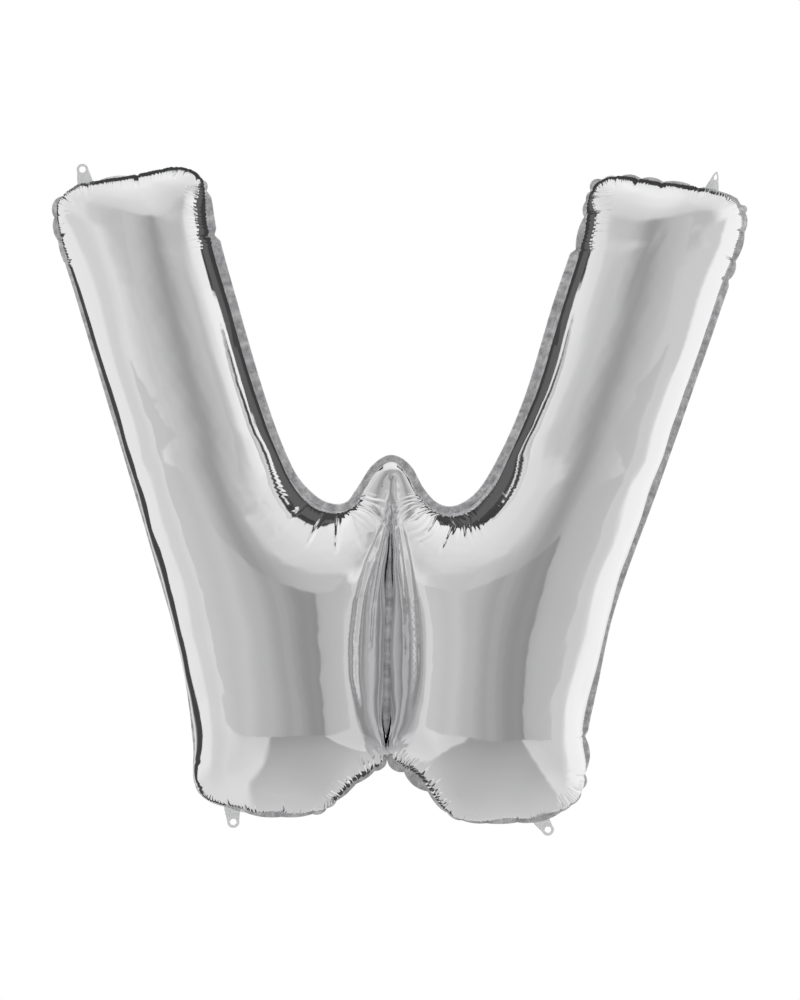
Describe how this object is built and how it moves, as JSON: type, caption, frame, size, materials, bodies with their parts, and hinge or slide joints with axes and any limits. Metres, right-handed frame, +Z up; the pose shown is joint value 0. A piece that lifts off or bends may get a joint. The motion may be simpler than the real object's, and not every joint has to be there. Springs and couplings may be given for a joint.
{
  "type": "letter foil balloon",
  "caption": "Inflated silver foil balloon in the shape of a capital W, with a pinched seam flange, a centre weld and punched hanging tabs.",
  "frame": {"origin": "on the seam plane, at the middle of the outline's box, where the air holds the floating balloon", "axes": "+X to the right of the letter as it is read, +Y from the front film to the back film, +Z up the letter"},
  "size_m": [0.9636, 0.2212, 0.9314],
  "materials": {
    "film": "mirror-bright vacuum-metallised film",
    "seal": "heat-sealed film with a fine crossed texture",
    "tab": "clear film, slightly grey"
  },
  "bodies": {
    "root": {"front_film": "film", "back_film": "film", "perimeter_seal": "seal", "centre_weld": "seal", "tab_top_left": "tab", "tab_top_right": "tab", "tab_bottom_left": "tab", "tab_bottom_right": "tab"}
  },
  "joints": []
}
